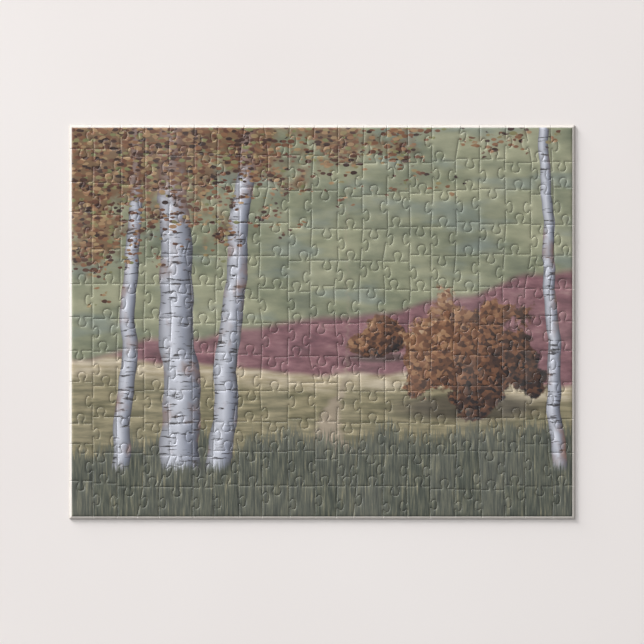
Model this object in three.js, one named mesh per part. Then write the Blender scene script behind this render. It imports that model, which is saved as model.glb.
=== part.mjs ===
// A rectangular jigsaw puzzle, assembled and lying flat, picture side up.
// Printed chipboard, die-cut into a 21 x 12 grid of interlocking pieces whose
// seams wander from the even grid and step where they meet. The pieces are
// modelled in 28 blocks of three by three; every block's outline follows the
// real seams with their knobs and sockets, and lifts straight out of the rest.
//
// Frame: millimetres, +X along the picture's long side to its right, +Y to the
// picture's top, +Z up out of the picture. The origin is the centre of the
// underside.
import * as THREE from "three";

// ---- overall sizes -------------------------------------------------------
const LENGTH = 355.6; // along X
const WIDTH = 277; // along Y
const BOARD = 1.9; // chipboard with the printed sheet on top
const COLUMNS = 21;
const ROWS = 12;
const BLOCK = 3; // pieces along each side of a block
const GAP = 0.3; // clear width of the seam between two blocks

// ---- knobs -----------------------------------------------------------------
// Pieces are narrow across and tall, so the knobs on the row seams are slim
// and long and the ones on the column seams broad and short.
const ROW_KNOB_SIZE = { neck: 1.65, halfWidth: 2.95, halfHeight: 2.6, centre: 4.3 };
const COLUMN_KNOB_SIZE = { neck: 2.1, halfWidth: 3.8, halfHeight: 2.05, centre: 2.8 };
const HEAD_ANGLES = [-128, -78, -26, 26, 78, 128]; // degrees around the head from its tip
const KNOB_CLEARANCE = 1; // least straight seam left beside a knob's foot

// ---- the cutting die ---------------------------------------------------------
// Each seam side is one level cut with one knob. Knob entries are the knob's
// place along its side in per cent; a positive one bulges to the right or up,
// a negative one to the left or down.

// Column seams, left to right: shift in mm from the even pitch at the top edge,
// at each of the 11 row seams and at the bottom edge.
const COLUMN_SHIFT = [
  [-0.7, 0.4, -0.4, -0.7, -1.3, -0.8, -0.7, -0.7, -0.1, -0.7, -0.1, -0.6, 0],
  [2.2, 2.2, 2.8, 2.3, 2.2, 2.2, 0.3, -0.5, -0.6, -0.6, 0.1, 0, 0.1],
  [2.6, 2.6, 2.6, 3.3, 2.7, 2.6, 1.4, 1.8, 1.9, 1.9, 1.2, 1.2, -3],
  [3.1, 2.3, 3.1, 2.3, 2.4, 3, 4.2, 3, 1.7, 2.3, 3.4, -4.7, -4.7],
  [3.5, 3.5, 3.5, 3.1, -2.8, 0.9, 2.1, 1.4, 2.1, 2, 2.1, 2.1, 2.1],
  [3.2, 2.5, 2.5, 2.5, 2.5, 1.1, 1.8, 0.4, -0.3, 0.4, -0.3, -0.3, 0.4],
  [4.7, 1.8, 1.3, 1.2, 0.4, -1, -0.3, -0.3, -0.3, -3, 0.9, 0.5, 1.2],
  [1.6, 4.4, 4.4, -1.3, -1.2, -2.4, 0.2, 0.2, -1.2, 0.1, 0.2, 0.2, 0.2],
  [2.7, 2, 2, 2, 2, 1.3, 2, 1.3, 1.9, 1.3, 1.3, 2, 2.7],
  [3.2, 2.4, 1.1, 1.4, 0.3, 0.3, 0.3, -0.4, 3.6, 3.9, 3.8, 3.9, 3.9],
  [2.9, 2.9, 2.8, 2.3, 3.2, 0.3, 0.8, 2.9, 2.9, 2.2, 2.8, 2.3, 1.5],
  [4.4, 3.5, 3.1, 3.4, 2, 0.8, 0.8, 0.8, 1.6, 2.2, 0.1, -1.1, -3.4],
  [3.4, 3.9, 3.5, 4.3, 0.5, 2, 2, 2, 2, 2, 2, 0.5, 0.5],
  [1, 1.8, 2.5, 3, 2.4, 3.1, 1.7, 2.4, 3.1, 2.4, 1.7, 0.3, 1],
  [1.4, 1.4, 2.1, 0.6, 0.7, 0.7, 0.7, 0.7, 0, 0, 0, 0, 0],
  [4.7, 1, 1.1, 1.7, 1.1, -1, 0.1, -1, 2.3, 1.2, 1.8, 0.3, 0.4],
  [1.2, 1.1, 0.5, 1.1, 0.5, 0.5, 0.4, -0.9, -1, 0.9, -0.1, 1.9, 2.6],
  [2.7, 1.8, 2.1, 2.6, 1.3, 0, 0.5, -0.1, -0.2, -0.2, 1.8, 1.3, 2],
  [-1.1, 3.7, 3.1, 3.1, 3, -1.1, -1.1, -1.1, -0.5, -1.1, -1.1, -1.1, -1.1],
  [0, 1, 2.1, 2.2, 2.8, -0.6, 0.2, -0.1, -1.7, -3.5, -1.6, 2, 1.4],
];

// Column seams, left to right: knob in each row, from the top, per cent downward.
const COLUMN_KNOB = [
  [-44, 44, 60, -56, 52, -48, 44, 56, -48, 48, -56, 48],
  [32, -40, 44, -52, 48, 56, -36, 36, -28, -68, 52, -48],
  [-32, 44, -48, 48, -52, 40, 48, -44, 40, -40, 44, 48],
  [32, -36, 32, -44, 48, 38, -64, 48, -28, 48, 52, 52],
  [48, -52, 48, 52, 48, -52, 44, -48, 44, -44, 50, 52],
  [-36, 48, -44, 40, 52, -52, 56, 48, -44, 44, -48, 52],
  [52, 60, -56, 52, -40, 44, -48, 48, 36, 48, -48, 48],
  [-52, -60, 68, -48, 66, 28, 56, -72, 72, -56, 32, 36],
  [52, 52, -44, 44, -40, 44, 36, -36, 44, -40, 44, 56],
  [-52, 72, -40, 68, -60, 64, -52, 58, -48, 44, -40, 44],
  [52, -48, 44, 48, 56, -56, 48, -46, 48, -44, 48, 60],
  [64, -56, 60, 52, 40, -52, 52, -36, -44, 72, -52, 44],
  [-40, 36, -40, 36, 40, -52, 48, -44, 48, -52, -48, 68],
  [-64, 64, -32, -40, 48, -44, 48, -44, -32, 52, -52, -64],
  [-44, 40, -44, 48, 56, -56, 60, -64, 48, -48, -52, 56],
  [32, -52, 48, -44, 60, 50, 52, 52, 56, -56, 52, 60],
  [56, 56, -40, 36, -40, 32, -32, 56, 52, 56, -72, -56],
  [48, -44, 52, -68, -56, 52, -52, 52, -52, -56, -48, 48],
  [-52, 40, -48, 56, 50, -44, 52, -40, 36, -44, 44, -28],
  [56, -44, 48, 48, -48, 52, -56, 44, 48, 56, -60, 40],
];

// Row seams, top to bottom: shift in mm from the even pitch in each column.
const ROW_LEVEL = [
  [6.5, 6.1, 0.8, 2.6, 1.5, 3.3, 1.9, 1.9, 1.5, 1.9, 1.5, -3.5, -3.8, -1.7, -3.5, -2.4, -0.6, -1, -3.5, -2.7, -2.7],
  [6.2, 5.5, 4, 0.9, -0.2, 4, 5.5, 2.3, 1.9, -0.2, 0.1, -4.5, -3, -0.6, -2, -0.2, 0.5, 1.2, 0.5, -2.7, 2.3],
  [8.3, 5.9, 2, 3.4, 0.2, 0.2, 2.3, 0.5, 0.5, -3, -3.7, -3.7, -4.1, -2.3, -2.3, -2.3, 0.9, -0.5, -0.2, -0.9, -0.9],
  [6.3, 4.9, 7, -0.8, 1.7, 0.6, 0.2, 0.2, 0.2, -3.3, -2.9, -2.9, -3.3, -3.6, 1, 0.1, 0.2, 1.7, 1.3, -0.1, 0.6],
  [3.5, 3.8, 3.5, 3.5, 3.5, 3.1, -0.8, -6.8, 0.3, -1.8, 2.1, -0.1, 0.3, -0.4, -1.1, 0.7, -1.5, 1.7, 1, 0.3, 0.3],
  [3.5, 2.1, 2.1, 2.5, 3.5, -1.1, 1.1, -1.1, -0.7, -1.1, -1.4, -1.1, -0.4, -1.4, -3.2, 1.1, -0.4, -2.1, 2.1, 4.3, 0.4],
  [2.9, 2.2, 4.3, -2.4, -3.1, 1.5, 1.5, 0.1, -1.7, -1, -1, -1.7, -2.1, -3.5, 2.5, 2.9, -0.3, -0.7, 3.2, 2.9, 2.9],
  [4, 1.2, -2.4, -1.7, -1.7, 0.1, -2.4, -2.4, -2.4, 3.3, 3.3, -2.7, -2.7, -2.4, -2.4, 1.2, 1.2, 1.2, -3.1, 3.6, 3.6],
  [-2.3, 2.3, 2.6, -2, -2.3, 0.2, -1.3, -0.9, -1.3, 1.2, -0.9, -2.3, -2, -1.6, -2, -3, 1.9, 1.6, 1.6, 0.5, 0.9],
  [6.6, 0.2, -0.1, -1.6, -1.9, -2.6, 1.6, 0.9, 0.9, 1.6, -4.4, -0.5, -0.9, -0.9, -0.9, -0.9, 1.6, 1.3, 0.9, 6.2, 0.2],
  [3.5, 1.7, -0.4, -0.8, -0.8, -1.2, 1, -0.1, 0.3, -0.4, -0.1, -0.4, -0.1, -0.1, -0.4, -2.2, -2.6, -2.9, 0.3, -0.4, 0.3],
];

// Row seams, top to bottom: knob in each column, per cent from the left.
const ROW_KNOB = [
  [-56, 48, 48, 36, 60, -52, 64, -56, 56, -60, 56, 60, 64, -56, 44, 32, -60, 56, -40, 40, -48],
  [-68, 56, 48, 68, 60, 52, -52, -56, 48, 56, -52, 44, 48, -44, 56, -52, 56, -52, 52, 52, 48],
  [56, 56, 52, 48, 52, -52, 40, 64, -56, 64, -60, 52, -44, 36, -48, 48, -48, -64, 56, -56, 60],
  [-64, -52, 52, 44, 72, -64, 60, -68, 60, 70, -60, 56, -64, 56, 56, -44, 56, -48, 40, -38, 60],
  [56, 60, -48, 48, -62, 52, 48, 52, 64, 40, -44, 64, -48, 36, 48, 52, 64, -56, 56, -56, 52],
  [-56, 60, -52, 44, -64, 44, 44, 56, -44, 40, -44, 40, -56, 40, 44, 68, -40, 48, -48, -48, 52],
  [-44, 44, -56, -56, 56, 56, -60, 52, -40, 40, -44, -44, 52, 48, -52, 60, -60, 56, 52, -52, 48],
  [52, 56, -56, 52, -44, 44, 64, -64, 52, -40, 48, 52, -52, 48, -52, 52, -52, 60, 56, 52, -48],
  [48, 36, -32, -48, 48, -44, -64, 56, -44, -60, 44, -48, 48, -44, 44, 44, 56, -60, 64, 52, -48],
  [-56, -32, 28, 44, -40, 44, 56, -52, 48, 48, 60, 44, -48, 40, -44, 40, 48, -44, 44, 52, 64],
  [-48, 44, -44, 60, -52, 46, 48, 60, -56, 40, 44, 52, 60, -52, 52, 60, -52, 44, 52, -52, 40],
];

// ---- seam geometry -------------------------------------------------------------
const PITCH_X = LENGTH / COLUMNS;
const PITCH_Y = WIDTH / ROWS;

// X of column seam i where it meets row seam j (the outer edges are straight).
function seamX(i, j) {
  const even = -LENGTH / 2 + i * PITCH_X;
  return i === 0 || i === COLUMNS ? even : even + COLUMN_SHIFT[i - 1][j];
}

// Y of row seam j in column i.
function seamY(i, j) {
  const even = WIDTH / 2 - j * PITCH_Y;
  return j === 0 || j === ROWS ? even : even + ROW_LEVEL[j - 1][i];
}

// Outline of a knob on a level side: [along, out] pairs, centred on the knob.
function knobOutline(size) {
  const head = HEAD_ANGLES.map((angle) => {
    const a = (angle * Math.PI) / 180;
    return [size.halfWidth * Math.sin(a), size.centre + size.halfHeight * Math.cos(a)];
  });
  return [[-size.neck, 0], ...head, [size.neck, 0]];
}
const ROW_OUTLINE = knobOutline(ROW_KNOB_SIZE);
const COLUMN_OUTLINE = knobOutline(COLUMN_KNOB_SIZE);

function clamp(value, low, high) {
  return Math.min(Math.max(value, low), high);
}

// One side of row seam j in column i, from its left end to its right end.
function rowSide(i, j) {
  const y = seamY(i, j);
  const left = seamX(i, j);
  const right = seamX(i + 1, j);
  const side = [[left, y]];
  if (j > 0 && j < ROWS) {
    const entry = ROW_KNOB[j - 1][i];
    const reach = ROW_KNOB_SIZE.halfWidth + KNOB_CLEARANCE;
    const x = clamp(left + ((right - left) * Math.abs(entry)) / 100, left + reach, right - reach);
    for (const [along, out] of ROW_OUTLINE) side.push([x + along, y + Math.sign(entry) * out]);
  }
  side.push([right, y]);
  return side;
}

// The two ends of the step that column seam i makes at row seam j.
function stepTop(i, j) {
  return Math.max(seamY(Math.max(i - 1, 0), j), seamY(Math.min(i, COLUMNS - 1), j));
}
function stepBottom(i, j) {
  return Math.min(seamY(Math.max(i - 1, 0), j), seamY(Math.min(i, COLUMNS - 1), j));
}

// The side of column seam i in row j, from the top down, without the corners:
// the lower end of the upper step, the knob, and the upper end of the lower step.
function columnSide(i, j) {
  const top = stepBottom(i, j);
  const bottom = stepTop(i, j + 1);
  const xTop = seamX(i, j);
  const xBottom = seamX(i, j + 1);
  const side = [[xTop, top]];
  if (i > 0 && i < COLUMNS) {
    const entry = COLUMN_KNOB[i - 1][j];
    const middleTop = (stepTop(i, j) + top) / 2;
    const middleBottom = (stepBottom(i, j + 1) + bottom) / 2;
    const reach = COLUMN_KNOB_SIZE.halfWidth + KNOB_CLEARANCE;
    const y = clamp(
      middleTop + ((middleBottom - middleTop) * Math.abs(entry)) / 100,
      bottom + reach,
      top - reach,
    );
    const lean = (xBottom - xTop) / (top - bottom);
    for (const [along, out] of COLUMN_OUTLINE) {
      const py = y - along;
      side.push([xTop + lean * (top - py) + Math.sign(entry) * out, py]);
    }
  }
  side.push([xBottom, bottom]);
  return side;
}

// ---- blocks ----------------------------------------------------------------------
// A whole stretch of column seam from row seam j0 to j1, seen from the pieces in
// column c beside it, so that it starts and ends at that column's own levels.
function columnStretch(i, j0, j1, c) {
  const points = [[seamX(i, j0), seamY(c, j0)]];
  for (let j = j0; j < j1; j++) points.push(...columnSide(i, j));
  points.push([seamX(i, j1), seamY(c, j1)]);
  return points;
}

// A stretch of row seam from column i0 to i1; where the level steps, it follows
// the column seam.
function rowStretch(j, i0, i1) {
  const points = [];
  for (let i = i0; i < i1; i++) points.push(...rowSide(i, j));
  return points;
}

function withoutDoubles(points) {
  const near = (a, b) => Math.hypot(a[0] - b[0], a[1] - b[1]) < 0.05;
  const kept = points.filter((p, k) => k === 0 || !near(p, points[k - 1]));
  if (near(kept[0], kept[kept.length - 1])) kept.pop();
  return kept;
}

// Corners that lie on the straight line between their neighbours add nothing.
function withoutStraights(points) {
  const n = points.length;
  return points.filter((p, k) => {
    const a = points[(k + n - 1) % n];
    const b = points[(k + 1) % n];
    const area = (p[0] - a[0]) * (b[1] - p[1]) - (p[1] - a[1]) * (b[0] - p[0]);
    return Math.abs(area) > 1e-6;
  });
}

// Counter-clockwise outline of the block whose first piece is column i0, row j0.
function blockOutline(i0, j0) {
  const i1 = i0 + BLOCK;
  const j1 = j0 + BLOCK;
  const outline = [
    ...columnStretch(i0, j0, j1, i0),
    ...rowStretch(j1, i0, i1),
    ...columnStretch(i1, j0, j1, i1 - 1).reverse(),
    ...rowStretch(j0, i0, i1).reverse(),
  ];
  return withoutStraights(withoutDoubles(outline));
}

// Move every side of a counter-clockwise outline inward by the given distance,
// but leave the puzzle's outer edges where they are.
function shrink(points, distance) {
  const n = points.length;
  const onRim = (a, b) =>
    (Math.abs(a[0] - b[0]) < 1e-9 && Math.abs(Math.abs(a[0]) - LENGTH / 2) < 1e-6) ||
    (Math.abs(a[1] - b[1]) < 1e-9 && Math.abs(Math.abs(a[1]) - WIDTH / 2) < 1e-6);
  return points.map((p, k) => {
    const a = points[(k + n - 1) % n];
    const b = points[(k + 1) % n];
    const before = Math.hypot(p[0] - a[0], p[1] - a[1]);
    const after = Math.hypot(b[0] - p[0], b[1] - p[1]);
    const n1 = [-(p[1] - a[1]) / before, (p[0] - a[0]) / before];
    const n2 = [-(b[1] - p[1]) / after, (b[0] - p[0]) / after];
    const d1 = onRim(a, p) ? 0 : distance;
    const d2 = onRim(p, b) ? 0 : distance;
    const cross = n1[0] * n2[1] - n1[1] * n2[0];
    if (Math.abs(cross) < 0.2) {
      const d = Math.max(d1, d2);
      const sum = Math.hypot(n1[0] + n2[0], n1[1] + n2[1]);
      return [p[0] + (d * (n1[0] + n2[0])) / sum, p[1] + (d * (n1[1] + n2[1])) / sum];
    }
    return [p[0] + (d1 * n2[1] - d2 * n1[1]) / cross, p[1] + (d2 * n1[0] - d1 * n2[0]) / cross];
  });
}

function blockGeometry(i0, j0) {
  const outline = shrink(blockOutline(i0, j0), GAP / 2);
  const shape = new THREE.Shape(outline.map(([x, y]) => new THREE.Vector2(x, y)));
  return new THREE.ExtrudeGeometry(shape, { depth: BOARD, bevelEnabled: false, steps: 1 });
}

// Main colour of the print on each band of blocks, from the top of the picture.
const BAND_COLOURS = [0xa3ab94, 0xb3ad93, 0x9c8079, 0x8d8a7b];

const puzzle = new THREE.Group();
for (let r = 0; r < ROWS / BLOCK; r++) {
  for (let c = 0; c < COLUMNS / BLOCK; c++) {
    const material = new THREE.MeshStandardMaterial({
      color: BAND_COLOURS[r],
      roughness: 0.5,
      metalness: 0,
    });
    const block = new THREE.Mesh(blockGeometry(c * BLOCK, r * BLOCK), material);
    block.name = `block_r${r + 1}_c${c + 1}`;
    puzzle.add(block);
  }
}

export default puzzle;
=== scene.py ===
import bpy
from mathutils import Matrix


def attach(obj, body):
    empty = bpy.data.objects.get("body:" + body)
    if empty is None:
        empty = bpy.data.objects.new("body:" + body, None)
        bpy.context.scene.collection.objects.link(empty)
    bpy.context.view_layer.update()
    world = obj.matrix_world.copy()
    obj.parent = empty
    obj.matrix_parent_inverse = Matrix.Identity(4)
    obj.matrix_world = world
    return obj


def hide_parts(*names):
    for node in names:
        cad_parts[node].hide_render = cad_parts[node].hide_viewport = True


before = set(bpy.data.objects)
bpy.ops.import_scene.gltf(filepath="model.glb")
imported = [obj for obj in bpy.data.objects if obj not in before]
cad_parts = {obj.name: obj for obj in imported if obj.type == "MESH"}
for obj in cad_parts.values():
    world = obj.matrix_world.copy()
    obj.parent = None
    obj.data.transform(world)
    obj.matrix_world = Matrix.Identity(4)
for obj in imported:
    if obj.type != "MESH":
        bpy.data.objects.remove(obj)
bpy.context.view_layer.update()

# An assembled jigsaw puzzle of printed chipboard, seen from straight above on a
# pale table in soft light from the upper left. All lengths in the geometry code
# are millimetres and are scaled to metres when a mesh is made.
import math

import bpy
import numpy as np
from mathutils import Vector
from mathutils.geometry import delaunay_2d_cdt

# ---- sizes -----------------------------------------------------------------
MM = 0.001
LENGTH = 355.6
WIDTH = 277.0
BOARD = 1.9
COLUMNS = 21
ROWS = 12
BLOCK = 3
PITCH_X = LENGTH / COLUMNS
PITCH_Y = WIDTH / ROWS
KERF = 0.018  # taken off every piece along its cut
OUTLINE_STEP = 0.55  # spacing of points along a piece's outline
RINGS = ((0.13, 1), (0.30, 1), (0.52, 1), (0.80, 1), (1.15, 1), (1.65, 2))
INNER_STEP = 1.7
PRESS_DEEP = 0.34  # how far the cutting rule pulls the top edge down
PRESS_REACH = 0.70
PILLOW_DEEP = 0.13  # the softer rounding further in
PILLOW_REACH = 1.9
LIP = 1.7  # bare pale board beyond the printed sheet, along the outer border
LIP_ZONE = 8.0

# ---- the cutting die: the same seams as the solids ---------------------------
# Column seams, left to right: shift from the even pitch at the top edge, at each
# row seam and at the bottom edge.
COLUMN_SHIFT = [
    [-0.7, 0.4, -0.4, -0.7, -1.3, -0.8, -0.7, -0.7, -0.1, -0.7, -0.1, -0.6, 0],
    [2.2, 2.2, 2.8, 2.3, 2.2, 2.2, 0.3, -0.5, -0.6, -0.6, 0.1, 0, 0.1],
    [2.6, 2.6, 2.6, 3.3, 2.7, 2.6, 1.4, 1.8, 1.9, 1.9, 1.2, 1.2, -3],
    [3.1, 2.3, 3.1, 2.3, 2.4, 3, 4.2, 3, 1.7, 2.3, 3.4, -4.7, -4.7],
    [3.5, 3.5, 3.5, 3.1, -2.8, 0.9, 2.1, 1.4, 2.1, 2, 2.1, 2.1, 2.1],
    [3.2, 2.5, 2.5, 2.5, 2.5, 1.1, 1.8, 0.4, -0.3, 0.4, -0.3, -0.3, 0.4],
    [4.7, 1.8, 1.3, 1.2, 0.4, -1, -0.3, -0.3, -0.3, -3, 0.9, 0.5, 1.2],
    [1.6, 4.4, 4.4, -1.3, -1.2, -2.4, 0.2, 0.2, -1.2, 0.1, 0.2, 0.2, 0.2],
    [2.7, 2, 2, 2, 2, 1.3, 2, 1.3, 1.9, 1.3, 1.3, 2, 2.7],
    [3.2, 2.4, 1.1, 1.4, 0.3, 0.3, 0.3, -0.4, 3.6, 3.9, 3.8, 3.9, 3.9],
    [2.9, 2.9, 2.8, 2.3, 3.2, 0.3, 0.8, 2.9, 2.9, 2.2, 2.8, 2.3, 1.5],
    [4.4, 3.5, 3.1, 3.4, 2, 0.8, 0.8, 0.8, 1.6, 2.2, 0.1, -1.1, -3.4],
    [3.4, 3.9, 3.5, 4.3, 0.5, 2, 2, 2, 2, 2, 2, 0.5, 0.5],
    [1, 1.8, 2.5, 3, 2.4, 3.1, 1.7, 2.4, 3.1, 2.4, 1.7, 0.3, 1],
    [1.4, 1.4, 2.1, 0.6, 0.7, 0.7, 0.7, 0.7, 0, 0, 0, 0, 0],
    [4.7, 1, 1.1, 1.7, 1.1, -1, 0.1, -1, 2.3, 1.2, 1.8, 0.3, 0.4],
    [1.2, 1.1, 0.5, 1.1, 0.5, 0.5, 0.4, -0.9, -1, 0.9, -0.1, 1.9, 2.6],
    [2.7, 1.8, 2.1, 2.6, 1.3, 0, 0.5, -0.1, -0.2, -0.2, 1.8, 1.3, 2],
    [-1.1, 3.7, 3.1, 3.1, 3, -1.1, -1.1, -1.1, -0.5, -1.1, -1.1, -1.1, -1.1],
    [0, 1, 2.1, 2.2, 2.8, -0.6, 0.2, -0.1, -1.7, -3.5, -1.6, 2, 1.4],
]

# Knob of each column seam in each row, per cent downward; + bulges to the right.
COLUMN_KNOB = [
    [-44, 44, 60, -56, 52, -48, 44, 56, -48, 48, -56, 48],
    [32, -40, 44, -52, 48, 56, -36, 36, -28, -68, 52, -48],
    [-32, 44, -48, 48, -52, 40, 48, -44, 40, -40, 44, 48],
    [32, -36, 32, -44, 48, 38, -64, 48, -28, 48, 52, 52],
    [48, -52, 48, 52, 48, -52, 44, -48, 44, -44, 50, 52],
    [-36, 48, -44, 40, 52, -52, 56, 48, -44, 44, -48, 52],
    [52, 60, -56, 52, -40, 44, -48, 48, 36, 48, -48, 48],
    [-52, -60, 68, -48, 66, 28, 56, -72, 72, -56, 32, 36],
    [52, 52, -44, 44, -40, 44, 36, -36, 44, -40, 44, 56],
    [-52, 72, -40, 68, -60, 64, -52, 58, -48, 44, -40, 44],
    [52, -48, 44, 48, 56, -56, 48, -46, 48, -44, 48, 60],
    [64, -56, 60, 52, 40, -52, 52, -36, -44, 72, -52, 44],
    [-40, 36, -40, 36, 40, -52, 48, -44, 48, -52, -48, 68],
    [-64, 64, -32, -40, 48, -44, 48, -44, -32, 52, -52, -64],
    [-44, 40, -44, 48, 56, -56, 60, -64, 48, -48, -52, 56],
    [32, -52, 48, -44, 60, 50, 52, 52, 56, -56, 52, 60],
    [56, 56, -40, 36, -40, 32, -32, 56, 52, 56, -72, -56],
    [48, -44, 52, -68, -56, 52, -52, 52, -52, -56, -48, 48],
    [-52, 40, -48, 56, 50, -44, 52, -40, 36, -44, 44, -28],
    [56, -44, 48, 48, -48, 52, -56, 44, 48, 56, -60, 40],
]

# Row seams, top to bottom: shift from the even pitch in each column.
ROW_LEVEL = [
    [6.5, 6.1, 0.8, 2.6, 1.5, 3.3, 1.9, 1.9, 1.5, 1.9, 1.5, -3.5, -3.8, -1.7, -3.5, -2.4, -0.6, -1, -3.5, -2.7, -2.7],
    [6.2, 5.5, 4, 0.9, -0.2, 4, 5.5, 2.3, 1.9, -0.2, 0.1, -4.5, -3, -0.6, -2, -0.2, 0.5, 1.2, 0.5, -2.7, 2.3],
    [8.3, 5.9, 2, 3.4, 0.2, 0.2, 2.3, 0.5, 0.5, -3, -3.7, -3.7, -4.1, -2.3, -2.3, -2.3, 0.9, -0.5, -0.2, -0.9, -0.9],
    [6.3, 4.9, 7, -0.8, 1.7, 0.6, 0.2, 0.2, 0.2, -3.3, -2.9, -2.9, -3.3, -3.6, 1, 0.1, 0.2, 1.7, 1.3, -0.1, 0.6],
    [3.5, 3.8, 3.5, 3.5, 3.5, 3.1, -0.8, -6.8, 0.3, -1.8, 2.1, -0.1, 0.3, -0.4, -1.1, 0.7, -1.5, 1.7, 1, 0.3, 0.3],
    [3.5, 2.1, 2.1, 2.5, 3.5, -1.1, 1.1, -1.1, -0.7, -1.1, -1.4, -1.1, -0.4, -1.4, -3.2, 1.1, -0.4, -2.1, 2.1, 4.3, 0.4],
    [2.9, 2.2, 4.3, -2.4, -3.1, 1.5, 1.5, 0.1, -1.7, -1, -1, -1.7, -2.1, -3.5, 2.5, 2.9, -0.3, -0.7, 3.2, 2.9, 2.9],
    [4, 1.2, -2.4, -1.7, -1.7, 0.1, -2.4, -2.4, -2.4, 3.3, 3.3, -2.7, -2.7, -2.4, -2.4, 1.2, 1.2, 1.2, -3.1, 3.6, 3.6],
    [-2.3, 2.3, 2.6, -2, -2.3, 0.2, -1.3, -0.9, -1.3, 1.2, -0.9, -2.3, -2, -1.6, -2, -3, 1.9, 1.6, 1.6, 0.5, 0.9],
    [6.6, 0.2, -0.1, -1.6, -1.9, -2.6, 1.6, 0.9, 0.9, 1.6, -4.4, -0.5, -0.9, -0.9, -0.9, -0.9, 1.6, 1.3, 0.9, 6.2, 0.2],
    [3.5, 1.7, -0.4, -0.8, -0.8, -1.2, 1, -0.1, 0.3, -0.4, -0.1, -0.4, -0.1, -0.1, -0.4, -2.2, -2.6, -2.9, 0.3, -0.4, 0.3],
]

# Knob of each row seam in each column, per cent from the left; + bulges up.
ROW_KNOB = [
    [-56, 48, 48, 36, 60, -52, 64, -56, 56, -60, 56, 60, 64, -56, 44, 32, -60, 56, -40, 40, -48],
    [-68, 56, 48, 68, 60, 52, -52, -56, 48, 56, -52, 44, 48, -44, 56, -52, 56, -52, 52, 52, 48],
    [56, 56, 52, 48, 52, -52, 40, 64, -56, 64, -60, 52, -44, 36, -48, 48, -48, -64, 56, -56, 60],
    [-64, -52, 52, 44, 72, -64, 60, -68, 60, 70, -60, 56, -64, 56, 56, -44, 56, -48, 40, -38, 60],
    [56, 60, -48, 48, -62, 52, 48, 52, 64, 40, -44, 64, -48, 36, 48, 52, 64, -56, 56, -56, 52],
    [-56, 60, -52, 44, -64, 44, 44, 56, -44, 40, -44, 40, -56, 40, 44, 68, -40, 48, -48, -48, 52],
    [-44, 44, -56, -56, 56, 56, -60, 52, -40, 40, -44, -44, 52, 48, -52, 60, -60, 56, 52, -52, 48],
    [52, 56, -56, 52, -44, 44, 64, -64, 52, -40, 48, 52, -52, 48, -52, 52, -52, 60, 56, 52, -48],
    [48, 36, -32, -48, 48, -44, -64, 56, -44, -60, 44, -48, 48, -44, 44, 44, 56, -60, 64, 52, -48],
    [-56, -32, 28, 44, -40, 44, 56, -52, 48, 48, 60, 44, -48, 40, -44, 40, 48, -44, 44, 52, 64],
    [-48, 44, -44, 60, -52, 46, 48, 60, -56, 40, 44, 52, 60, -52, 52, 60, -52, 44, 52, -52, 40],
]

ROW_KNOB_SIZE = (1.65, 2.95, 2.6, 4.3)  # neck, half width, half height, centre
COLUMN_KNOB_SIZE = (2.1, 3.8, 2.05, 2.8)
CLEAR = 1.0


def mix_hash(*numbers):
    """A fixed pseudo-random number in 0..1 from whole numbers."""
    value = 0.0
    for k, n in enumerate(numbers):
        value += (n + 1.37) * (12.9898 + 37.719 * k)
    return (math.sin(value) * 43758.5453) % 1.0


def seam_x(i, j):
    even = -LENGTH / 2 + i * PITCH_X
    return even if i in (0, COLUMNS) else even + COLUMN_SHIFT[i - 1][j]


def seam_y(i, j):
    even = WIDTH / 2 - j * PITCH_Y
    return even if j in (0, ROWS) else even + ROW_LEVEL[j - 1][i]


def knob_outline(size, key):
    """[along, out] points of one knob: flared foot, waist and rounded head."""
    neck, half_w, half_h, centre = size
    grow = 1.0 + 0.05 * (mix_hash(*key, 3) - 0.5)
    lean = 0.07 * (mix_hash(*key, 5) - 0.5)
    half_w, half_h = half_w * grow, half_h * grow
    points = []
    # foot: a small fillet out of the straight cut into the waist
    for k in range(6):
        a = k / 5 * math.pi / 2
        points.append((-neck - 0.75 * (1 - math.sin(a)), 0.75 * (1 - math.cos(a))))
    start = math.radians(132)
    n = 26
    for k in range(n + 1):
        a = -start + 2 * start * k / n
        x = half_w * math.copysign(abs(math.sin(a)) ** 0.9, math.sin(a))
        y = centre + half_h * math.copysign(abs(math.cos(a)) ** 0.92, math.cos(a))
        points.append((x, y))
    for k in range(5, -1, -1):
        a = k / 5 * math.pi / 2
        points.append((neck + 0.75 * (1 - math.sin(a)), 0.75 * (1 - math.cos(a))))
    return [(x + lean * y, y) for x, y in points]


def clamp(value, low, high):
    return min(max(value, low), high)


def row_side(i, j):
    y, left, right = seam_y(i, j), seam_x(i, j), seam_x(i + 1, j)
    side = [(left, y)]
    if 0 < j < ROWS:
        entry = ROW_KNOB[j - 1][i]
        reach = ROW_KNOB_SIZE[1] + CLEAR
        x = clamp(left + (right - left) * abs(entry) / 100, left + reach, right - reach)
        sign = 1 if entry > 0 else -1
        for along, out in knob_outline(ROW_KNOB_SIZE, (i, j)):
            side.append((x + along, y + sign * out))
    side.append((right, y))
    return side


def step_top(i, j):
    return max(seam_y(max(i - 1, 0), j), seam_y(min(i, COLUMNS - 1), j))


def step_bottom(i, j):
    return min(seam_y(max(i - 1, 0), j), seam_y(min(i, COLUMNS - 1), j))


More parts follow.
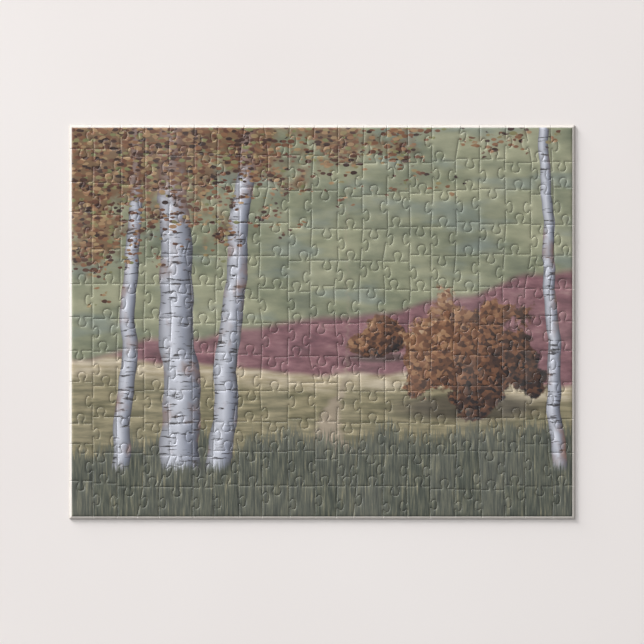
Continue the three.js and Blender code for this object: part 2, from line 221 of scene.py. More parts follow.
def column_side(i, j):
    top, bottom = step_bottom(i, j), step_top(i, j + 1)
    x_top, x_bottom = seam_x(i, j), seam_x(i, j + 1)
    side = [(x_top, top)]
    if 0 < i < COLUMNS:
        entry = COLUMN_KNOB[i - 1][j]
        middle_top = (step_top(i, j) + top) / 2
        middle_bottom = (step_bottom(i, j + 1) + bottom) / 2
        reach = COLUMN_KNOB_SIZE[1] + CLEAR
        y = clamp(
            middle_top + (middle_bottom - middle_top) * abs(entry) / 100,
            bottom + reach,
            top - reach,
        )
        lean = (x_bottom - x_top) / (top - bottom)
        sign = 1 if entry > 0 else -1
        for along, out in knob_outline(COLUMN_KNOB_SIZE, (i + 40, j)):
            py = y - along
            side.append((x_top + lean * (top - py) + sign * out, py))
    side.append((x_bottom, bottom))
    return side


def piece_outline(i, j):
    """Counter-clockwise outline of one piece, evenly stepped."""
    left = [(seam_x(i, j), seam_y(i, j))] + column_side(i, j) + [(seam_x(i, j + 1), seam_y(i, j + 1))]
    right = (
        [(seam_x(i + 1, j), seam_y(i, j))]
        + column_side(i + 1, j)
        + [(seam_x(i + 1, j + 1), seam_y(i, j + 1))]
    )
    raw = left + row_side(i, j + 1) + right[::-1] + row_side(i, j)[::-1]
    points = []
    for p in raw:
        if not points or math.dist(p, points[-1]) > 0.16:
            points.append(p)
    while math.dist(points[0], points[-1]) < 0.16:
        points.pop()
    fine = []
    n = len(points)
    for k in range(n):
        a, b = points[k], points[(k + 1) % n]
        steps = max(1, math.ceil(math.dist(a, b) / OUTLINE_STEP))
        for s in range(steps):
            f = s / steps
            fine.append((a[0] + (b[0] - a[0]) * f, a[1] + (b[1] - a[1]) * f))
    return np.array(fine)


def inward(points, distance, rim=True):
    """Move an outline inward; with rim False its sides on the outer edge stay."""
    before = points - np.roll(points, 1, 0)
    after = np.roll(points, -1, 0) - points
    n1 = np.stack([-before[:, 1], before[:, 0]], 1) / np.linalg.norm(before, axis=1, keepdims=True)
    n2 = np.stack([-after[:, 1], after[:, 0]], 1) / np.linalg.norm(after, axis=1, keepdims=True)
    d1 = np.full(len(points), distance)
    d2 = d1.copy()
    if not rim:
        for axis, half in ((0, LENGTH / 2), (1, WIDTH / 2)):
            edge = np.abs(np.abs(points[:, axis]) - half) < 1e-6
            d1[edge & np.roll(edge, 1)] = 0
            d2[edge & np.roll(edge, -1)] = 0
    cross = n1[:, 0] * n2[:, 1] - n1[:, 1] * n2[:, 0]
    total = n1 + n2
    size = np.maximum(np.linalg.norm(total, axis=1, keepdims=True), 1e-6)
    flat = points + np.maximum(d1, d2)[:, None] * total / size
    safe = np.where(np.abs(cross) < 0.2, 1.0, cross)
    mitre = points + np.stack(
        [(d1 * n2[:, 1] - d2 * n1[:, 1]) / safe, (d2 * n1[:, 0] - d1 * n2[:, 0]) / safe], 1
    )
    return np.where((np.abs(cross) < 0.2)[:, None], flat, mitre)


def drawn_in(points, amount):
    """Draw the outer border in by an amount; nothing moves beyond LIP_ZONE of it."""
    moved = points.copy()
    for axis, half in ((0, LENGTH / 2), (1, WIDTH / 2)):
        t = half - np.abs(points[:, axis])
        t = np.where(t < LIP_ZONE, amount + t * (1 - amount / LIP_ZONE), t)
        moved[:, axis] = np.sign(points[:, axis]) * (half - t)
    return moved


def edge_distance(points, outline):
    """Distance from each point to an outline."""
    a = outline[None, :, :]
    v = (np.roll(outline, -1, 0) - outline)[None, :, :]
    w = points[:, None, :] - a
    t = np.clip((w * v).sum(2) / (v * v).sum(2), 0, 1)
    return np.sqrt(((w - t[:, :, None] * v) ** 2).sum(2).min(1))


def inside(points, outline):
    x, y = points[:, 0][:, None], points[:, 1][:, None]
    ax, ay = outline[:, 0][None], outline[:, 1][None]
    bx, by = np.roll(outline[:, 0], -1)[None], np.roll(outline[:, 1], -1)[None]
    hit = ((ay > y) != (by > y)) & (x < (bx - ax) * (y - ay) / (by - ay + 1e-12) + ax)
    return hit.sum(1) % 2 == 1


def thin_out(points, step):
    cells = np.round(points / step).astype(np.int64)
    _, first = np.unique(cells, axis=0, return_index=True)
    return points[np.sort(first)]


def drop(d):
    return PRESS_DEEP * np.exp(-d / PRESS_REACH) + PILLOW_DEEP * np.exp(-d / PILLOW_REACH)


# ---- piece meshes -----------------------------------------------------------------
PRINT, CUT, BACK = 0, 1, 2


def piece_mesh(i, j):
    """One piece: vertices (mm), faces, face materials and the distance of every
    vertex from the cut, with the point counts of the outline and of the top."""
    base = inward(piece_outline(i, j), KERF, rim=False)
    outline = drawn_in(base, LIP)
    n = len(outline)
    interior = []
    for distance, keep in RINGS:
        ring = inward(outline, distance)[::keep]
        ok = inside(ring, outline)
        ring = ring[ok]
        ring = ring[edge_distance(ring, outline) > 0.92 * distance]
        interior.append(thin_out(ring, 0.32 * (OUTLINE_STEP + distance * 0.4)))
    low, high = outline.min(0), outline.max(0)
    xs = np.arange(low[0], high[0], INNER_STEP)
    ys = np.arange(low[1], high[1], INNER_STEP * 0.87)
    grid = np.array([(x + (k % 2) * INNER_STEP / 2, y) for k, y in enumerate(ys) for x in xs])
    grid = grid[inside(grid, outline)]
    grid = grid[edge_distance(grid, outline) > 1.65 + 0.5 * INNER_STEP]
    interior.append(grid)
    interior = np.concatenate(interior)
    flat = np.concatenate([outline, interior])
    co, _, faces, origin, _, _ = delaunay_2d_cdt(
        [Vector(p) for p in flat.tolist()], [], [list(range(n))], 1, 1e-5
    )
    co = np.array([tuple(p) for p in co])
    first = {}
    for k, o in enumerate(origin):
        for q in o:
            first[q] = k
    rim = [first[k] for k in range(n)]
    d = edge_distance(co, outline)
    d[rim] = 0.0
    settle = 0.05 * mix_hash(i, j, 7)
    tilt_x = 0.0040 * (mix_hash(i, j, 11) - 0.5)
    tilt_y = 0.0040 * (mix_hash(i, j, 13) - 0.5)
    centre = co.mean(0)
    lift = (co - centre) @ np.array([tilt_x, tilt_y])
    top = BOARD - 0.012 - settle - drop(d) + lift
    top = np.minimum(top, BOARD)
    m = len(co)
    verts = np.concatenate(
        [
            np.column_stack([co, top]),
            np.column_stack([drawn_in(base, 0.22), np.full(n, 1.16)]),
            np.column_stack([base, np.full(n, 0.95)]),
            np.column_stack([inward(base, 0.02), np.full(n, 0.07)]),
            np.column_stack([inward(base, 0.09), np.zeros(n)]),
        ]
    )
    tris = [tuple(f) for f in faces]
    material = [PRINT] * len(tris)
    low_ring = m + 3 * n
    rings = [rim] + [list(range(m + k * n, m + (k + 1) * n)) for k in range(4)]
    for upper, lower in zip(rings, rings[1:]):
        for k in range(n):
            q = (k + 1) % n
            tris.append((upper[k], lower[k], lower[q], upper[q]))
            material.append(CUT)
    # underside: the same outline, triangulated without interior points
    _, _, bfaces, borigin, _, _ = delaunay_2d_cdt(
        [Vector(p) for p in base.tolist()], [], [list(range(n))], 1, 1e-6
    )
    for f in bfaces:
        tris.append(tuple(low_ring + borigin[k][0] for k in reversed(f)))
        material.append(BACK)
    distance = np.concatenate([d, np.zeros(4 * n)])
    return verts, tris, material, distance, n, m


def make_block(r, c, materials):
    verts, faces, slots, rim, hue = [], [], [], [], []
    base = 0
    i0, j0 = c * BLOCK, r * BLOCK
    for j in range(j0, j0 + BLOCK):
        for i in range(i0, i0 + BLOCK):
            v, f, s, d, n, m = piece_mesh(i, j)
            verts.append(v)
            faces += [tuple(base + k for k in face) for face in f]
            slots += s
            rim.append(d)
            hue.append(np.full(len(v), mix_hash(i, j, 17)))
            base += len(v)
    verts = np.concatenate(verts)
    me = bpy.data.meshes.new(f"pieces_r{r + 1}_c{c + 1}")
    me.from_pydata((verts * MM).tolist(), [], faces)
    for m in materials:
        me.materials.append(m)
    me.polygons.foreach_set("material_index", np.array(slots, np.int32))
    me.polygons.foreach_set("use_smooth", np.ones(len(faces), bool))
    a = me.attributes.new("rim", "FLOAT", "POINT")
    a.data.foreach_set("value", np.concatenate(rim).astype(np.float32))
    a = me.attributes.new("piece", "FLOAT", "POINT")
    a.data.foreach_set("value", np.concatenate(hue).astype(np.float32))
    # edges between the print, the cut and the back stay crisp
    loops = np.zeros(len(me.loops), np.int32)
    me.loops.foreach_get("edge_index", loops)
    starts = np.zeros(len(faces), np.int32)
    me.polygons.foreach_get("loop_start", starts)
    totals = np.zeros(len(faces), np.int32)
    me.polygons.foreach_get("loop_total", totals)
    slot_of_loop = np.repeat(np.array(slots), totals)
    least = np.full(len(me.edges), 9)
    most = np.full(len(me.edges), -1)
    np.minimum.at(least, loops, slot_of_loop)
    np.maximum.at(most, loops, slot_of_loop)
    sharp = me.attributes.new("sharp_edge", "BOOLEAN", "EDGE")
    sharp.data.foreach_set("value", least != most)
    me.update()
    ob = bpy.data.objects.new(me.name, me)
    bpy.context.scene.collection.objects.link(ob)
    return ob


# ---- shader helpers ------------------------------------------------------------------
def linear(red, green, blue):
    def one(v):
        v /= 255.0
        return v / 12.92 if v <= 0.04045 else ((v + 0.055) / 1.055) ** 2.4

    return (one(red), one(green), one(blue), 1.0)


class Nodes:
    """Short forms for building one material's node tree."""

    def __init__(self, material):
        self.tree = material.node_tree
        self.tree.nodes.clear()
        self.out = self.new("ShaderNodeOutputMaterial")
        self.bsdf = self.new("ShaderNodeBsdfPrincipled")
        self.link(self.bsdf.outputs[0], self.out.inputs["Surface"])

    def new(self, kind, **props):
        node = self.tree.nodes.new(kind)
        for key, value in props.items():
            setattr(node, key, value)
        return node

    def link(self, a, b):
        self.tree.links.new(a, b)

    def put(self, value, socket):
        if isinstance(value, bpy.types.NodeSocket):
            self.link(value, socket)
        else:
            socket.default_value = value

    def math(self, op, a, b=0.0, c=None, clamp_it=False):
        node = self.new("ShaderNodeMath", operation=op, use_clamp=clamp_it)
        self.put(a, node.inputs[0])
        self.put(b, node.inputs[1])
        if c is not None:
            self.put(c, node.inputs[2])
        return node.outputs[0]

    def add(self, a, b):
        return self.math("ADD", a, b)

    def sub(self, a, b):
        return self.math("SUBTRACT", a, b)

    def mul(self, a, b):
        return self.math("MULTIPLY", a, b)

    def mad(self, a, b, c):
        return self.math("MULTIPLY_ADD", a, b, c)

    def smooth(self, value, low, high):
        """0 below low, 1 above high; low may be the larger."""
        node = self.new("ShaderNodeMapRange", interpolation_type="SMOOTHSTEP")
        self.put(value, node.inputs["Value"])
        if low <= high:
            node.inputs["From Min"].default_value = low
            node.inputs["From Max"].default_value = high
            node.inputs["To Min"].default_value = 0.0
            node.inputs["To Max"].default_value = 1.0
        else:
            node.inputs["From Min"].default_value = high
            node.inputs["From Max"].default_value = low
            node.inputs["To Min"].default_value = 1.0
            node.inputs["To Max"].default_value = 0.0
        return node.outputs["Result"]

    def range(self, value, low, high, to_low, to_high):
        node = self.new("ShaderNodeMapRange")
        self.put(value, node.inputs["Value"])
        node.inputs["From Min"].default_value = low
        node.inputs["From Max"].default_value = high
        node.inputs["To Min"].default_value = to_low
        node.inputs["To Max"].default_value = to_high
        return node.outputs["Result"]

    def mix(self, factor, a, b, mode="MIX"):
        node = self.new("ShaderNodeMix", data_type="RGBA", blend_type=mode)
        self.put(factor, node.inputs[0])
        self.put(a, node.inputs[6])
        self.put(b, node.inputs[7])
        return node.outputs[2]

    def ramp(self, factor, stops, interpolation="LINEAR"):
        node = self.new("ShaderNodeValToRGB")
        ramp = node.color_ramp
        ramp.interpolation = interpolation
        while len(ramp.elements) < len(stops):
            ramp.elements.new(0.5)
        for element, (place, colour) in zip(ramp.elements, stops):
            element.position = place
            element.color = colour
        self.put(factor, node.inputs[0])
        return node.outputs[0]

    def noise(self, vector, scale, detail=2.0, rough=0.5, distortion=0.0):
        node = self.new("ShaderNodeTexNoise")
        self.put(vector, node.inputs["Vector"])
        node.inputs["Scale"].default_value = scale
        node.inputs["Detail"].default_value = detail
        node.inputs["Roughness"].default_value = rough
        node.inputs["Distortion"].default_value = distortion
        return node.outputs["Fac"]

    def stretched(self, vector, scale, offset=(0, 0, 0), angle=0.0):
        node = self.new("ShaderNodeMapping")
        self.put(vector, node.inputs["Vector"])
        node.inputs["Location"].default_value = offset
        node.inputs["Rotation"].default_value = (0, 0, angle)
        node.inputs["Scale"].default_value = scale
        return node.outputs[0]

    def bump(self, height, strength, distance, normal=None):
        node = self.new("ShaderNodeBump")
        node.inputs["Strength"].default_value = strength
        node.inputs["Distance"].default_value = distance
        self.put(height, node.inputs["Height"])
        if normal is not None:
            self.link(normal, node.inputs["Normal"])
        return node.outputs[0]

    def attribute(self, name):
        node = self.new("ShaderNodeAttribute", attribute_name=name)
        return node.outputs["Fac"]


def new_material(name):
    m = bpy.data.materials.new(name)
    m.use_nodes = True
    return m


# ---- the print: an autumn landscape with birches ----------------------------------------
def print_material():
    m = new_material("printed_face")
    n = Nodes(m)
    coord = n.new("ShaderNodeTexCoord").outputs["Object"]
    mm = n.stretched(coord, (1000, 1000, 1000))  # millimetres on the picture
    split = n.new("ShaderNodeSeparateXYZ")
    n.link(mm, split.inputs[0])
    x, y = split.outputs[0], split.outputs[1]
    flat = n.new("ShaderNodeCombineXYZ")
    n.link(x, flat.inputs[0])
    n.link(y, flat.inputs[1])
    p = flat.outputs[0]

    # far background: mottled sage foliage out of focus, in soft level streaks
    soft = n.noise(n.stretched(p, (0.7, 1.5, 1), (2, 9, 0)), 0.016, 3.0, 0.55)
    soft2 = n.noise(n.stretched(p, (0.55, 1.6, 1), (31, 7, 0)), 0.050, 4.0, 0.6)
    colour = n.ramp(
        n.add(n.mul(soft, 0.55), n.mul(soft2, 0.45)),
        [
            (0.33, linear(106, 114, 93)),
            (0.44, linear(132, 138, 110)),
            (0.53, linear(156, 159, 127)),
            (0.62, linear(174, 175, 141)),
            (0.72, linear(190, 190, 160)),
        ],
    )
    cool = n.noise(n.stretched(p, (0.6, 1.8, 1), (63, 21, 0)), 0.028, 3.0, 0.5)
    colour = n.mix(n.mul(n.smooth(cool, 0.50, 0.68), 0.52), colour, linear(132, 146, 138))

    # a hillside of heather in dusty rose, rising to the right
    wave = n.noise(n.stretched(p, (1, 0.05, 1), (3, 0, 0)), 0.010, 2.0, 0.45)
    ridge = n.add(n.mul(n.sub(wave, 0.5), 56), n.mad(x, 0.15, 4.0))
    below = n.smooth(n.sub(y, ridge), 3.0, -4.0)
    tuft = n.noise(n.stretched(p, (0.55, 1.5, 1)), 0.075, 5.0, 0.62)
    heather = n.ramp(
        tuft,
        [
            (0.30, linear(100, 66, 73)),
            (0.45, linear(132, 88, 95)),
            (0.58, linear(154, 110, 114)),
            (0.74, linear(180, 146, 140)),
        ],
    )
    colour = n.mix(n.mul(below, 0.94), colour, heather)

    # a nearer field, falling to the right: straw above, pale cream below
    wave = n.noise(n.stretched(p, (1, 0.05, 1), (47, 5, 0)), 0.012, 2.0, 0.45)
    ridge = n.add(n.mul(n.sub(wave, 0.5), 36), n.mad(x, -0.05, -34.0))
    low = n.sub(y, ridge)
    streak = n.noise(n.stretched(p, (0.35, 2.4, 1), (11, 2, 0)), 0.10, 5.0, 0.62)
    field = n.mix(n.smooth(streak, 0.35, 0.66), linear(120, 116, 86), linear(166, 156, 120))
    pale = n.mix(n.smooth(streak, 0.35, 0.66), linear(178, 164, 128), linear(216, 204, 174))
    field = n.mix(n.smooth(low, -16.0, -5.0), field, pale)
    colour = n.mix(n.smooth(low, 2.0, -3.0), colour, field)

    # a sandy track winding up from the lower edge
    bend = n.math("SINE", n.mad(y, 0.045, 1.2))
    shrink = n.smooth(y, -18.0, -150.0)
    track = n.math("ABSOLUTE", n.sub(x, n.add(n.mad(n.mul(bend, shrink), 42.0, 18.0), n.mul(n.sub(streak, 0.5), 14))))
    sand = n.smooth(n.sub(track, n.mad(shrink, 24.0, -1.0)), 3.0, -3.0)
    colour = n.mix(n.mul(sand, 0.85), colour, n.mix(tuft, linear(142, 126, 104), linear(204, 190, 164)))

    # grass in front, grey-green blades with straw among them
    wave = n.noise(n.stretched(p, (1, 0.1, 1), (140, 2, 0)), 0.03, 4.0, 0.6)
    ridge = n.add(n.mul(n.sub(wave, 0.5), 56), n.mad(x, 0.05, -80.0))
    blade = n.noise(n.stretched(p, (3.2, 0.20, 1), (5, 3, 0), 0.10), 0.28, 5.0, 0.65)
    blade2 = n.noise(n.stretched(p, (2.4, 0.16, 1), (9, 8, 0), -0.16), 0.22, 4.0, 0.6)
    ridge = n.add(ridge, n.add(n.mul(n.sub(blade, 0.5), 46), n.mul(n.sub(blade2, 0.5), 30)))
    below = n.smooth(n.sub(y, ridge), 2.5, -4.0)
    grass = n.ramp(
        n.add(n.mul(blade, 0.6), n.mul(blade2, 0.4)),
        [
            (0.34, linear(48, 52, 46)),
            (0.47, linear(82, 88, 76)),
            (0.57, linear(114, 116, 96)),
            (0.70, linear(176, 168, 132)),
        ],
    )
    colour = n.mix(below, colour, grass)

    # autumn shrubs standing in the field, lit from the left, with shade below
    leafy = n.noise(p, 0.10, 5.0, 0.6)
    vor = n.new("ShaderNodeTexVoronoi")
    n.link(n.stretched(p, (1, 1.25, 1)), vor.inputs["Vector"])
    vor.inputs["Scale"].default_value = 0.34
    cell = n.new("ShaderNodeSeparateColor")
    n.link(vor.outputs["Color"], cell.inputs[0])

    lobes = n.noise(n.stretched(p, (1, 1, 1), (8, 30, 0)), 0.030, 1.0, 0.4)

    def shrub(colour, cx, cy, rx, ry, warm_by):
        sx = n.mul(n.sub(x, cx), 1 / rx)
        sy = n.mul(n.sub(y, cy), 1 / ry)
        # flatter below: the lower half is squeezed
        sq = n.math("MAXIMUM", n.math("ABSOLUTE", sy), n.math("MULTIPLY", n.math("MINIMUM", sy, 0.0), -1.5))
        radius = n.math("SQRT", n.add(n.mul(sx, sx), n.mul(sq, sq)))
        ragged = n.add(radius, n.add(n.mul(n.sub(leafy, 0.5), 0.9), n.mul(n.sub(lobes, 0.5), 1.5)))
        shade_r = n.math(
            "SQRT",
            n.add(n.mul(n.mul(sx, sx), 0.62), n.math("POWER", n.mul(n.add(sy, 0.66), 4.2), 2.0)),
        )
        colour = n.mix(n.mul(n.smooth(shade_r, 1.15, 0.5), 0.75), colour, linear(62, 54, 46))
        tone = n.add(
            n.mul(cell.outputs[0], 0.36),
            n.add(n.mul(leafy, 0.36), n.mad(n.sub(sy, sx), 0.15, warm_by)),
        )
        leaves = n.ramp(
            tone,
            [
                (0.12, linear(36, 30, 30)),
                (0.34, linear(84, 58, 44)),
                (0.52, linear(132, 90, 62)),
                (0.70, linear(172, 132, 94)),
                (0.90, linear(214, 194, 162)),
            ],
        )
        return n.mix(n.smooth(ragged, 1.03, 0.93), colour, leaves)

    colour = shrub(colour, 40.0, -14.0, 20.0, 17.0, 0.02)
    colour = shrub(colour, 104.0, -30.0, 48.0, 46.0, 0.04)

    # birch trunks on the left, one slim one on the far right
    def trunk(colour, centre, slope, half, seed):
        wobble = n.mul(
            n.sub(n.noise(n.stretched(p, (0.02, 1, 1), (seed, seed * 3, 0)), 0.02, 2.0, 0.5), 0.5), 14
        )
        middle = n.add(n.mad(y, slope, centre), wobble)
        width = n.mad(y, -half * 0.0016, half)
        side = n.math("DIVIDE", n.sub(x, middle), width)
        rough = n.mul(n.sub(n.noise(n.stretched(p, (0.6, 1, 1), (seed, 0, 0)), 0.5, 3.0, 0.6), 0.5), 0.10)
        across = n.math("ABSOLUTE", n.add(side, rough))
        mask = n.smooth(across, 1.0, 0.93)
        foot = n.smooth(n.add(y, n.mul(blade, 26.0)), -92.0, -84.0)
        mask = n.mul(mask, foot)
        bark = n.ramp(
            n.mad(side, 0.5, 0.5),
            [
                (0.02, linear(132, 134, 138)),
                (0.20, linear(198, 202, 206)),
                (0.42, linear(216, 220, 224)),
                (0.70, linear(150, 156, 166)),
                (0.97, linear(70, 72, 80)),
            ],
        )
        marks = n.noise(n.stretched(p, (0.42, 2.6, 1), (seed * 5, seed, 0)), 0.16, 4.0, 0.62)
        ring = n.smooth(marks, 0.565, 0.62)
        bark = n.mix(n.mul(ring, 0.92), bark, linear(40, 36, 38))
        stain = n.noise(n.stretched(p, (1, 0.6, 1), (seed, seed * 7, 0)), 0.06, 3.0, 0.6)
        bark = n.mix(n.mul(n.smooth(stain, 0.50, 0.70), 0.55), bark, linear(150, 108, 80))
        return n.mix(mask, colour, bark)

    colour = trunk(colour, -136.0, 0.05, 5.5, 2.0)
    colour = trunk(colour, -102.0, -0.03, 12.5, 7.0)
    colour = trunk(colour, -64.0, 0.09, 8.0, 13.0)
    colour = trunk(colour, 162.0, -0.04, 4.6, 23.0)

    # hanging foliage at the top left: soft masses behind, leaves in front
    clump = n.noise(n.stretched(p, (1, 1, 1), (17, 60, 0)), 0.030, 3.0, 0.55)
    reach = n.add(n.mul(y, 0.0108), n.mad(x, -0.0040, -0.26))
    density = n.add(n.mul(n.sub(clump, 0.5), 2.2), reach)
    mass = n.mul(n.smooth(n.add(density, n.mul(n.sub(leafy, 0.5), 0.8)), 0.80, 1.25), 0.8)
    colour = n.mix(mass, colour, n.mix(soft2, linear(84, 54, 36), linear(150, 104, 62)))

    def leaf_layer(colour, scale, angle, shift, stretch, gate_low):
        v = n.new("ShaderNodeTexVoronoi")
        n.link(n.stretched(p, (1, stretch, 1), shift, angle), v.inputs["Vector"])
        v.inputs["Scale"].default_value = scale
        v.inputs["Randomness"].default_value = 1.0
        s = n.new("ShaderNodeSeparateColor")
        n.link(v.outputs["Color"], s.inputs[0])
        shape = n.smooth(n.add(v.outputs["Distance"], n.mul(n.sub(leafy, 0.5), 0.35)), 0.46, 0.40)
        gate = n.smooth(n.add(density, n.mul(n.sub(s.outputs[1], 0.5), 0.6)), gate_low, gate_low + 0.05)
        tint = n.ramp(
            s.outputs[0],
            [
                (0.05, linear(56, 38, 32)),
                (0.35, linear(108, 70, 50)),
                (0.60, linear(142, 102, 70)),
                (0.80, linear(172, 142, 102)),
                (0.95, linear(128, 130, 84)),
            ],
        )
        return n.mix(n.mul(shape, gate), colour, tint)

    colour = leaf_layer(colour, 0.21, 0.6, (3, 5, 0), 1.9, 0.86)
    colour = leaf_layer(colour, 0.18, -0.5, (23, 15, 0), 1.7, 0.92)
    colour = leaf_layer(colour, 0.16, 0.05, (41, 33, 0), 2.0, 1.02)

    # ink grain, small shifts of tone from piece to piece, and a pale rim at the cut that is partly wear and partly
    # painted sheen
    grain = n.noise(p, 2.6, 3.0, 0.7)
    colour = n.mix(0.10, colour, n.ramp(grain, [(0.3, (0.08, 0.08, 0.08, 1)), (0.7, (0.9, 0.9, 0.9, 1))]), "OVERLAY")
    rim = n.attribute("rim")
    piece = n.attribute("piece")
    colour = n.mix(n.mad(piece, 0.05, 0.0), colour, linear(232, 228, 214))
    scuff = n.noise(p, 1.3, 4.0, 0.7)
    # pale rim along the cut, patchy by the scuff noise: partly worn print, partly a painted sheen of the pressed edge
    wear_and_sheen = n.mul(n.smooth(rim, 0.16, 0.02), n.smooth(scuff, 0.44, 0.62))
    colour = n.mix(n.mul(wear_and_sheen, 0.55), colour, linear(206, 200, 186))
    colour = n.mix(1.0, colour, (0.81, 0.81, 0.845, 1.0), "MULTIPLY")
    n.link(colour, n.bsdf.inputs["Base Color"])

    # satin laminate: paper tooth, faint scuffs, softer sheen where it is pressed
    tooth = n.noise(p, 1.7, 3.0, 0.6)
    haze = n.noise(n.stretched(p, (1, 1, 1), (70, 3, 0)), 0.05, 3.0, 0.6)
    rough = n.add(n.range(haze, 0.3, 0.7, 0.48, 0.60), n.mul(n.sub(tooth, 0.5), 0.10))
    rough = n.add(rough, n.mul(n.smooth(rim, 0.5, 0.0), 0.10))
    n.link(rough, n.bsdf.inputs["Roughness"])
    n.bsdf.inputs["IOR"].default_value = 1.46
    n.bsdf.inputs["Specular IOR Level"].default_value = 0.12
    n.bsdf.inputs["Coat Weight"].default_value = 0.6
    n.bsdf.inputs["Coat Roughness"].default_value = 0.28
    n.bsdf.inputs["Coat IOR"].default_value = 1.45
    fibre = n.noise(n.stretched(p, (1.0, 3.0, 1), (0, 0, 0), 0.5), 0.9, 3.0, 0.6)
    bump = n.bump(n.add(n.mul(tooth, 0.6), n.mul(fibre, 0.4)), 0.35, 0.00005)
    n.link(bump, n.bsdf.inputs["Normal"])
    return m


# ---- the cut edge: layered grey board under a white printed sheet -------------------------
def cut_material():
    m = new_material("cut_edge")
    n = Nodes(m)
    coord = n.new("ShaderNodeTexCoord").outputs["Object"]
    mm = n.stretched(coord, (1000, 1000, 1000))
    split = n.new("ShaderNodeSeparateXYZ")
    n.link(mm, split.inputs[0])
    z = split.outputs[2]
    layers = n.noise(n.stretched(mm, (0.35, 0.35, 5.0)), 1.6, 4.0, 0.65)
    fibre = n.noise(n.stretched(mm, (3.0, 3.0, 7.0)), 1.4, 4.0, 0.7)
    colour = n.ramp(
        n.add(n.mul(layers, 0.6), n.mul(fibre, 0.4)),
        [
            (0.32, linear(112, 106, 96)),
            (0.48, linear(146, 139, 126)),
            (0.62, linear(170, 163, 148)),
            (0.76, linear(196, 190, 176)),
        ],
    )
    fleck = n.new("ShaderNodeTexVoronoi")
    n.link(mm, fleck.inputs["Vector"])
    fleck.inputs["Scale"].default_value = 1.1
    spot = n.smooth(fleck.outputs["Distance"], 0.16, 0.08)
    colour = n.mix(n.mul(spot, 0.5), colour, linear(74, 72, 84))
    # the pale liner under the printed sheet, which also shows bare along the border
    sheet = n.smooth(n.add(z, n.mul(n.sub(fibre, 0.5), 0.10)), 1.00, 1.10)
    colour = n.mix(n.mul(sheet, 0.9), colour, linear(228, 223, 214))
    under = n.smooth(n.add(z, n.mul(n.sub(fibre, 0.5), 0.06)), 0.14, 0.07)
    colour = n.mix(n.mul(under, 0.7), colour, linear(150, 146, 140))
    n.link(colour, n.bsdf.inputs["Base Color"])
    n.link(n.range(fibre, 0.3, 0.7, 0.82, 0.96), n.bsdf.inputs["Roughness"])
    n.bsdf.inputs["Specular IOR Level"].default_value = 0.25
    n.link(n.bump(n.add(layers, fibre), 0.7, 0.00012), n.bsdf.inputs["Normal"])
    return m


# ---- the back: plain grey board --------------------------------------------------------------
def back_material():
    m = new_material("board_back")
    n = Nodes(m)
    coord = n.new("ShaderNodeTexCoord").outputs["Object"]
    mm = n.stretched(coord, (1000, 1000, 1000))
    cloud = n.noise(mm, 0.05, 4.0, 0.6)
    fibre = n.noise(n.stretched(mm, (1.0, 3.4, 1), (0, 0, 0), 0.3), 0.8, 5.0, 0.7)
    fibre2 = n.noise(n.stretched(mm, (3.0, 0.9, 1), (9, 4, 0), -0.4), 0.9, 4.0, 0.7)
    colour = n.ramp(
        n.add(n.mul(cloud, 0.4), n.add(n.mul(fibre, 0.35), n.mul(fibre2, 0.25))),
        [
            (0.34, linear(136, 132, 124)),
            (0.50, linear(160, 156, 147)),
            (0.66, linear(182, 177, 166)),
        ],
    )
    fleck = n.new("ShaderNodeTexVoronoi")
    n.link(n.stretched(mm, (1, 2.2, 1), (0, 0, 0), 0.9), fleck.inputs["Vector"])
    fleck.inputs["Scale"].default_value = 0.55
    spot = n.smooth(fleck.outputs["Distance"], 0.11, 0.05)
    colour = n.mix(n.mul(spot, 0.55), colour, linear(92, 88, 92))
    n.link(colour, n.bsdf.inputs["Base Color"])
    n.link(n.range(fibre, 0.3, 0.7, 0.80, 0.94), n.bsdf.inputs["Roughness"])
    n.bsdf.inputs["Specular IOR Level"].default_value = 0.25
    n.link(n.bump(n.add(fibre, fibre2), 0.5, 0.00008), n.bsdf.inputs["Normal"])
    return m


finish = [print_material(), cut_material(), back_material()]
for r in range(ROWS // BLOCK):
    for c in range(COLUMNS // BLOCK):
        ob = make_block(r, c, finish)
        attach(ob, "root")
        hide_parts(f"block_r{r + 1}_c{c + 1}")


# ---- stage: pale table, soft light, camera straight above --------------------------------------
def table():
    me = bpy.data.meshes.new("table")
    s = 12.0
    me.from_pydata([(-s, -s, 0), (s, -s, 0), (s, s, 0), (-s, s, 0)], [], [(0, 1, 2, 3)])
    ob = bpy.data.objects.new("table", me)
    bpy.context.scene.collection.objects.link(ob)
    ob.location.z = -0.0002
    m = new_material("table")
    n = Nodes(m)
    coord = n.new("ShaderNodeTexCoord").outputs["Object"]
    cloud = n.noise(coord, 3.0, 3.0, 0.5)
    n.link(
        n.ramp(cloud, [(0.3, linear(236, 231, 226)), (0.7, linear(240, 236, 231))]),
        n.bsdf.inputs["Base Color"],
    )
    n.link(n.range(cloud, 0.3, 0.7, 0.85, 0.92), n.bsdf.inputs["Roughness"])
    n.bsdf.inputs["Specular IOR Level"].default_value = 0.08
    me.materials.append(m)


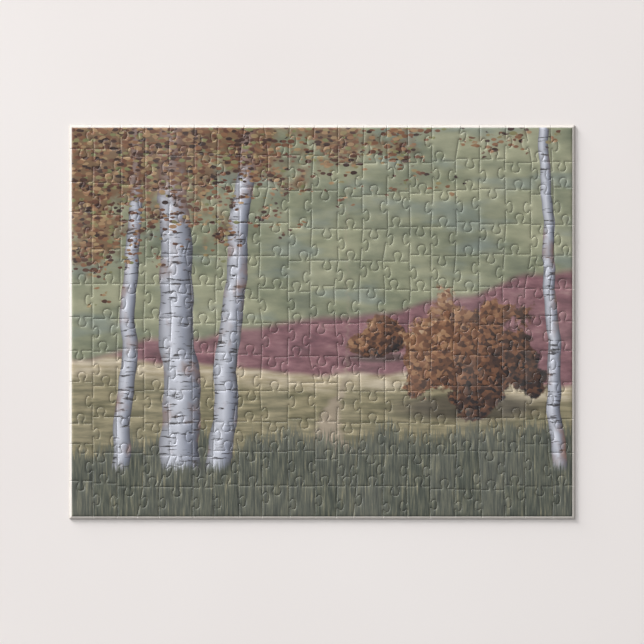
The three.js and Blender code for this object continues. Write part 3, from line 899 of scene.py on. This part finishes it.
def backdrop():
    """A plain pale wall far behind the table, for low views only."""
    n, radius = 96, 4.4
    ring = [(radius * math.cos(2 * math.pi * k / n), radius * math.sin(2 * math.pi * k / n)) for k in range(n)]
    verts = [(x, y, -0.001) for x, y in ring] + [(x, y, 9.0) for x, y in ring]
    me = bpy.data.meshes.new("backdrop")
    me.from_pydata(verts, [], [(k, n + k, n + (k + 1) % n, (k + 1) % n) for k in range(n)])
    ob = bpy.data.objects.new("backdrop", me)
    bpy.context.scene.collection.objects.link(ob)
    m = new_material("backdrop")
    tree = Nodes(m)
    tree.bsdf.inputs["Base Color"].default_value = (0, 0, 0, 1)
    tree.bsdf.inputs["Specular IOR Level"].default_value = 0.0
    tree.bsdf.inputs["Emission Color"].default_value = linear(233, 228, 224)
    tree.bsdf.inputs["Emission Strength"].default_value = 1.0
    me.materials.append(m)
    ob.visible_diffuse = False
    ob.visible_glossy = False
    ob.visible_shadow = False


def area(name, place, size, power, colour):
    light = bpy.data.lights.new(name, "AREA")
    light.shape = "DISK"
    light.size = size
    light.energy = power
    light.color = colour
    ob = bpy.data.objects.new(name, light)
    bpy.context.scene.collection.objects.link(ob)
    ob.location = place
    ob.rotation_euler = (Vector((0, 0, 0)) - Vector(place)).to_track_quat("-Z", "Y").to_euler()
    return ob


table()
backdrop()
# the window, high up, and the low part of its daylight, which rakes across the
# seams and draws the soft shadow on the table
area("window", (-3.5, 3.5, 4.95), 2.3, 158.0, (1.0, 0.99, 1.02))
low_light = area("low_window", (-5.15, 5.15, 1.62), 3.1, 1090.0, (1.0, 0.99, 1.02))
low_light.visible_glossy = False
# two broad soft panels, left and top, seen only as sheen on the pressed edges
for name, place in (("left_panel", (-3.0, 0.35, 3.35)), ("top_panel", (-0.35, 3.0, 3.35))):
    area(name, place, 1.9, 54.0, (1.0, 0.99, 1.0)).visible_diffuse = False
area("ceiling", (0.3, -0.2, 2.4), 2.2, 7.5, (1.0, 0.99, 1.02))

world = bpy.data.worlds.new("room")
world.use_nodes = True
world.node_tree.nodes["Background"].inputs[0].default_value = (1.0, 0.985, 1.0, 1)
world.node_tree.nodes["Background"].inputs[1].default_value = 0.222
bpy.context.scene.world = world

FRAME_MM = 453.0  # width and height of the picture's view, at the print
HEIGHT = 1.6
lens = bpy.data.cameras.new("above")
lens.sensor_width = 36.0
lens.sensor_fit = "HORIZONTAL"
lens.lens = 36.0 * (HEIGHT - BOARD * MM) / (FRAME_MM * MM)
lens.clip_start = 0.01
camera = bpy.data.objects.new("above", lens)
bpy.context.scene.collection.objects.link(camera)
camera.location = (0.0, 0.0, HEIGHT)
camera.rotation_euler = (0, 0, 0)
bpy.context.scene.camera = camera

bpy.context.scene.view_settings.view_transform = "Standard"
bpy.context.scene.view_settings.look = "None"
